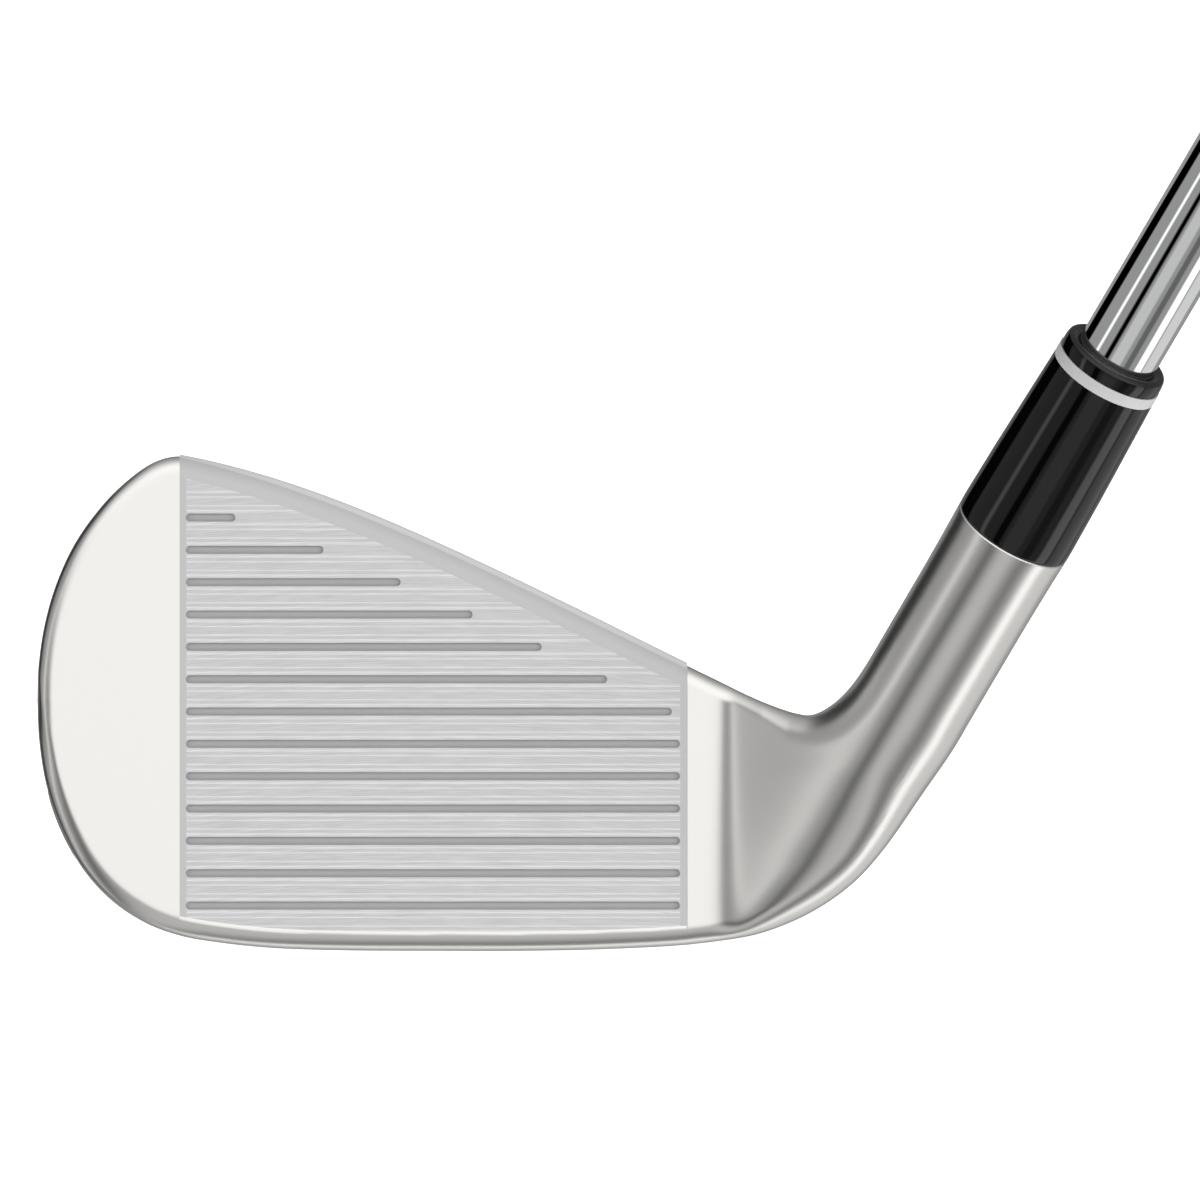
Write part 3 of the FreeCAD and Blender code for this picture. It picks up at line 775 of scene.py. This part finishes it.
def milled_face():
    """Milled face plate: fine tool arcs in bands between the grooves, plain margins with a painted highlight
    along the top edge, and grooves darkened with painted shade.
    """
    material, tree, shader = new_material("milled_face", Roughness=0.5, Metallic=0.0, Specular_IOR_Level=0.25)
    place = tree.nodes.new("ShaderNodeTexCoord").outputs["Object"]
    origin = from_face([[0, 0, 0]])[0]
    along = [sums(tree, "MULTIPLY", lean(tree, place, axis), 1000.0) for axis in FACE_AXES]
    starts = [float(origin @ axis) * 1000 for axis in FACE_AXES]
    u, v, w = (sums(tree, "SUBTRACT", size, start) for size, start in zip(along, starts))
    # Height below the top line, as the line's own cubic.
    ends = np.linspace(PLATE_LEFT, PLATE_RIGHT, 60)
    cubic = np.polyfit(ends, v_ends(ends)[1], 3)
    line = float(cubic[0])
    for factor in cubic[1:]:
        line = sums(tree, "ADD", sums(tree, "MULTIPLY", line, u), float(factor))
    below = sums(tree, "MULTIPLY", sums(tree, "SUBTRACT", line, v), 0.9)
    left = sums(tree, "SUBTRACT", u, PLATE_LEFT)
    right = sums(tree, "SUBTRACT", PLATE_RIGHT, u)
    edge = smallest(tree, sums(tree, "SUBTRACT", left, 0.75), sums(tree, "SUBTRACT", right, 0.75))
    edge = smallest(tree, edge, sums(tree, "SUBTRACT", below, 2.3))
    cut = step_share(tree, edge, -0.02, 0.04)
    # Bands across one groove pitch.
    turn = sums(tree, "SUBTRACT", sums(tree, "DIVIDE", v, GROOVE_PITCH), GROOVE_FIRST / GROOVE_PITCH - 0.5)
    phase = sums(tree, "FRACT", sums(tree, "ADD", turn, 20.0))
    band = grey_ramp(tree, phase, BANDS)
    # Tool arcs.
    bow = sums(tree, "MULTIPLY", sums(tree, "MULTIPLY", u, u), 1 / 560)
    arc = sums(tree, "ADD", v, bow)
    joined = tree.nodes.new("ShaderNodeCombineXYZ")
    tree.links.new(sums(tree, "MULTIPLY", u, 0.045), joined.inputs[0])
    tree.links.new(arc, joined.inputs[1])
    grain = tree.nodes.new("ShaderNodeTexNoise")
    grain.inputs["Scale"].default_value = 4.4
    grain.inputs["Detail"].default_value = 3.5
    grain.inputs["Roughness"].default_value = 0.7
    tree.links.new(joined.outputs[0], grain.inputs["Vector"])
    streak = sums(tree, "SUBTRACT", grain.outputs["Fac"], 0.5)
    fine = sums(tree, "SINE", sums(tree, "MULTIPLY", arc, 2 * math.pi / 0.24))
    level = sums(tree, "ADD", sums(tree, "MULTIPLY", streak, 0.55), sums(tree, "MULTIPLY", fine, 0.045))
    shade = sums(tree, "MULTIPLY", band, sums(tree, "ADD", level, 1.0))
    # Painted highlight along the plate's top edge: the grey is lightest at the top line and falls to about
    # the margin's level within half a millimetre.
    lip_highlight = [(0, 0.72), (0.32, 0.62), (0.4, 0.49), (1, 0.48)]
    border = grey_ramp(tree, step_share(tree, below, 0.0, 1.0), lip_highlight)
    margin = grey_ramp(tree, phase, [(0, 0.47), (1, 0.47)])
    top = mix_grey(tree, step_share(tree, below, 2.0, 2.3), border, margin)
    colour = mix_grey(tree, cut, top, shade)
    # Painted shade in the grooves: once the plate is more than 0.1 to 0.2 mm deep, the colour turns to the
    # groove grey, darkest towards each groove's upper side.
    floor = grey_ramp(tree, phase, GROOVE_SHADE)
    deep = step_share(tree, sums(tree, "MULTIPLY", w, -1.0), 0.1, 0.2)
    colour = mix_grey(tree, sums(tree, "MULTIPLY", deep, cut), colour, floor)
    tree.links.new(colour, shader.inputs["Base Color"])
    height = sums(tree, "MULTIPLY", cut, sums(tree, "ADD", level, 0.5))
    bump_from(tree, shader, height, 0.15, 0.00004)
    return material


def shaft_place(tree):
    """Height in mm along the shaft and turn from 0 to 1 about it, as sockets."""
    place = tree.nodes.new("ShaderNodeTexCoord").outputs["Object"]
    foot = FOOT / 1000
    along = sums(tree, "MULTIPLY", lean(tree, place, AXIS), 1000.0)
    height = sums(tree, "SUBTRACT", along, float(FOOT @ AXIS))
    side = np.cross(AXIS, [0, 1, 0])
    side /= np.linalg.norm(side)
    back = np.cross(AXIS, side)
    x = sums(tree, "SUBTRACT", lean(tree, place, side), float(foot @ side))
    y = sums(tree, "SUBTRACT", lean(tree, place, back), float(foot @ back))
    turn = sums(tree, "ADD", sums(tree, "DIVIDE", sums(tree, "ARCTAN2", x, y), 2 * math.pi), 0.5)
    return height, turn


def moulded_rubber():
    """Grip rubber: staggered rows of small lozenge pits in three zones, darkened in painted shade, with plain
    smooth rings between them.
    """
    material, tree, shader = new_material("grip_rubber", Roughness=0.62)
    height, turn = shaft_place(tree)
    row = sums(tree, "DIVIDE", height, PIT_PITCH)
    shift = sums(tree, "MULTIPLY", sums(tree, "MODULO", sums(tree, "FLOOR", row), 2.0), 0.5)
    across = sums(tree, "ADD", sums(tree, "MULTIPLY", turn, float(PITS_ROUND)), shift)
    dx = sums(tree, "ABSOLUTE", sums(tree, "SUBTRACT", sums(tree, "FRACT", across), 0.5))
    dy = sums(tree, "ABSOLUTE", sums(tree, "SUBTRACT", sums(tree, "FRACT", row), 0.5))
    pit = step_share(tree, sums(tree, "ADD", dx, dy), 0.42, 0.3)
    zone = grey_ramp(tree, step_share(tree, height, GRIP_START, BUTT_END), GRIP_ZONES)
    grain = noise(tree, 2500)
    depth = sums(tree, "SUBTRACT", sums(tree, "MULTIPLY", grain, 0.12), sums(tree, "MULTIPLY", pit, zone))
    bump_from(tree, shader, depth, 0.4, 0.0002)
    # Painted shade in the pits: the rubber's grey darkens towards the bottom of each pit.
    pit_shade = sums(tree, "MULTIPLY", sums(tree, "MULTIPLY", pit, zone), 0.6)
    dark = grey_ramp(tree, pit_shade, [(0, 0.021), (1, 0.006)])
    tree.links.new(dark, shader.inputs["Base Color"])
    return material


GRIP_ZONES = [
    (0, 0), (0.05, 0), (0.055, 1), (0.33, 1), (0.335, 0),
    (0.36, 0), (0.365, 1), (0.66, 1), (0.665, 0), (0.69, 0),
    (0.695, 1), (0.955, 1), (0.96, 0), (1, 0),
]


def printed_film():
    """Label band on the shaft: silver film with two dark rings at each end and a plain middle."""
    material, tree, shader = new_material("band_film", Roughness=0.28, Metallic=0.6)
    height, _ = shaft_place(tree)
    share = step_share(tree, height, GRIP_START - 112, GRIP_START - 22)
    grain = sums(tree, "MULTIPLY", noise(tree, 1800), 0.04)
    lines = grey_ramp(tree, share, FILM)
    worn = grey_ramp(tree, share, [(0, 0.2), (1, 0.2)])
    tree.links.new(mix_grey(tree, grain, lines, worn), shader.inputs["Base Color"])
    return material


FILM = [
    (0, 0.03), (0.06, 0.03), (0.062, 0.42), (0.08, 0.42),
    (0.082, 0.03), (0.1, 0.03), (0.102, 0.42), (0.898, 0.42),
    (0.9, 0.03), (0.918, 0.03), (0.92, 0.42), (0.938, 0.42), (0.94, 0.03), (1, 0.03),
]


def brushed_badge():
    """Cavity badge: dark brushed metal with two slanted pale lines and a plain lower strip."""
    material, tree, shader = new_material("badge_metal", Roughness=0.34, Metallic=1.0)
    place = tree.nodes.new("ShaderNodeTexCoord").outputs["Object"]
    u = sums(tree, "MULTIPLY", lean(tree, place, FACE_AXES[0]), 1000.0)
    v = sums(tree, "MULTIPLY", lean(tree, place, FACE_AXES[1]), 1000.0)
    slant = sums(tree, "ADD", v, sums(tree, "MULTIPLY", u, 0.42))
    share = step_share(tree, slant, 10.0, 50.0)
    tone = grey_ramp(tree, share, BADGE)
    joined = tree.nodes.new("ShaderNodeCombineXYZ")
    tree.links.new(sums(tree, "MULTIPLY", u, 0.08), joined.inputs[0])
    tree.links.new(sums(tree, "MULTIPLY", v, 3.0), joined.inputs[1])
    grain = tree.nodes.new("ShaderNodeTexNoise")
    grain.inputs["Scale"].default_value = 3.0
    tree.links.new(joined.outputs[0], grain.inputs["Vector"])
    level = sums(tree, "ADD", sums(tree, "MULTIPLY", grain.outputs["Fac"], 0.5), 0.75)
    tree.links.new(sums(tree, "MULTIPLY", tone, level), shader.inputs["Base Color"])
    bump_from(tree, shader, grain.outputs["Fac"], 0.1, 0.00003)
    return material


BADGE = [
    (0, 0.05), (0.28, 0.05), (0.281, 0.5), (0.3, 0.5),
    (0.301, 0.11), (0.62, 0.13), (0.621, 0.5), (0.64, 0.5),
    (0.641, 0.05), (1, 0.06),
]


# Levels over one groove pitch, from halfway below a groove to halfway above it.
BANDS = [
    (0, 0.51), (0.1, 0.51), (0.135, 0.65), (0.17, 0.51),
    (0.25, 0.51), (0.27, 0.64), (0.33, 0.57), (0.37, 0.51),
    (0.63, 0.51), (0.67, 0.57), (0.73, 0.64), (0.75, 0.51),
    (0.83, 0.51), (0.865, 0.65), (0.9, 0.51), (1, 0.51),
]
# Painted shade for the groove floors: greys over one groove pitch, darkest towards each groove's upper side.
GROOVE_SHADE = [(0, 0.48), (0.45, 0.46), (0.55, 0.44), (0.63, 0.3), (1, 0.3)]


def wear(obj, material):
    """Gives an object one material."""
    obj.data.materials.clear()
    obj.data.materials.append(material)


wear(head, satin)
face = milled_face()
rubber = moulded_rubber()
film = printed_film()
dark_metal = brushed_badge()
for name, material in {
    "face_plate": face,
    "badge_tape": foam,
    "cavity_badge": dark_metal,
    "toe_weight": tungsten,
    "hosel_epoxy": epoxy,
    "ferrule_body": gloss_black,
    "ferrule_ring": ring_metal,
    "ferrule_cap": gloss_black,
    "shaft": chrome,
    "tip_plug": brass,
    "shaft_band": film,
    "grip_tape": paper,
    "grip_sleeve": rubber,
    "grip_cap": rubber,
}.items():
    wear(parts.get(name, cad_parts[name]), material)


# ---------------------------------------------------------------- studio
def studio_floor():
    """A wide, pale floor that reads as plain white."""
    wide = 40
    corners = [(-wide, -wide, 0), (wide, -wide, 0), (wide, wide, 0), (-wide, wide, 0)]
    floor = add_mesh("floor", corners, [(0, 1, 2, 3)], False)
    material, _, shader = new_material("floor_white", Roughness=0.9)
    shader.inputs["Base Color"].default_value = (0.9, 0.9, 0.9, 1)
    shader.inputs["Emission Color"].default_value = (1, 1, 1, 1)
    shader.inputs["Emission Strength"].default_value = 1.0
    wear(floor, material)
    floor.visible_glossy = False


studio_floor()
# Panels round the shaft axis: the turn of the centre from the side facing the camera and the width, both in
# degrees, and the brightness. SURROUND is the level between them.
PANELS = [
    (-120, 40, 0.0), (-55, 8, 1.1), (-20, 14, 0.0), (10, 30, 0.5),
    (45, 16, 0.12), (80, 20, 1.3), (115, 40, 0.6),
]
SURROUND = 0.28
PANEL_EDGE = 5
# The wide light above: its brightness from low to high, against how far a direction leans towards the camera.
OVERHEAD = [(-1, 0.1), (0, 0.45), (0.7, 1.05), (1, 1.05)]


def panel_stops():
    """Brightness round the shaft as ramp stops: the surroundings, with each panel's soft-edged level."""
    stops = [(-180, SURROUND)]
    for centre, width, level in PANELS:
        outer = (width + PANEL_EDGE) / 2
        inner = (width - PANEL_EDGE) / 2
        stops += [(centre - outer, SURROUND), (centre - inner, level)]
        stops += [(centre + inner, level), (centre + outer, SURROUND)]
    return [*stops, (180, SURROUND)]


def build_world():
    """Soft studio surroundings: panels round the shaft, one wide light above."""
    world = bpy.data.worlds.new("studio")
    bpy.context.scene.world = world
    world.use_nodes = True
    tree = world.node_tree
    place = tree.nodes.new("ShaderNodeTexCoord").outputs["Generated"]
    out = FACE_AXES[2]
    near = out - AXIS * (out @ AXIS)
    near /= np.linalg.norm(near)
    side = np.cross(AXIS, near)
    side *= math.copysign(1, side[0])
    turn = sums(tree, "ARCTAN2", lean(tree, place, side), lean(tree, place, near))
    turn = sums(tree, "ADD", sums(tree, "DIVIDE", turn, 2 * math.pi), 0.5)
    panels = grey_ramp(tree, turn, [((a + 180) / 360, level) for a, level in panel_stops()])
    facing = sums(tree, "ADD", sums(tree, "MULTIPLY", lean(tree, place, out), 0.5), 0.5)
    above = grey_ramp(tree, facing, [((a + 1) / 2, level) for a, level in OVERHEAD])
    along = lean(tree, place, AXIS)
    gap = grey_ramp(tree, sums(tree, "ADD", sums(tree, "MULTIPLY", along, 0.5), 0.5), GAP)
    node = tree.nodes.new("ShaderNodeMix")
    node.data_type = "RGBA"
    node.blend_type = "MULTIPLY"
    node.inputs["Factor"].default_value = 1
    tree.links.new(panels, node.inputs["A"])
    tree.links.new(gap, node.inputs["B"])
    share = smooth_share(tree, along, 0.04, 0.28)
    light = mix_grey(tree, share, node.outputs["Result"], above)
    back = tree.nodes["Background"]
    tree.links.new(light, back.inputs["Color"])
    back.inputs["Strength"].default_value = 1.16


# Dimmer belt between the panels and the light above, against the lean of a direction along the shaft.
GAP = [(0, 1), (0.44, 1), (0.53, 0.66), (0.6, 0.66), (1, 0.66)]
build_world()


def add_camera():
    """Long lens looking straight at the face."""
    lens = 700
    view = bpy.data.cameras.new("camera")
    view.lens = lens
    view.sensor_width = 36
    view.clip_end = 100
    camera = bpy.data.objects.new("camera", view)
    bpy.context.scene.collection.objects.link(camera)
    target = Vector(from_face([[18.6, 39.1, 0]])[0])
    out = Vector(FACE_AXES[2])
    camera.location = target + out * (0.1336 * lens / 36)
    camera.rotation_euler = out.to_track_quat("Z", "Y").to_euler()
    bpy.context.scene.camera = camera


add_camera()
bpy.context.scene.view_settings.view_transform = "Standard"
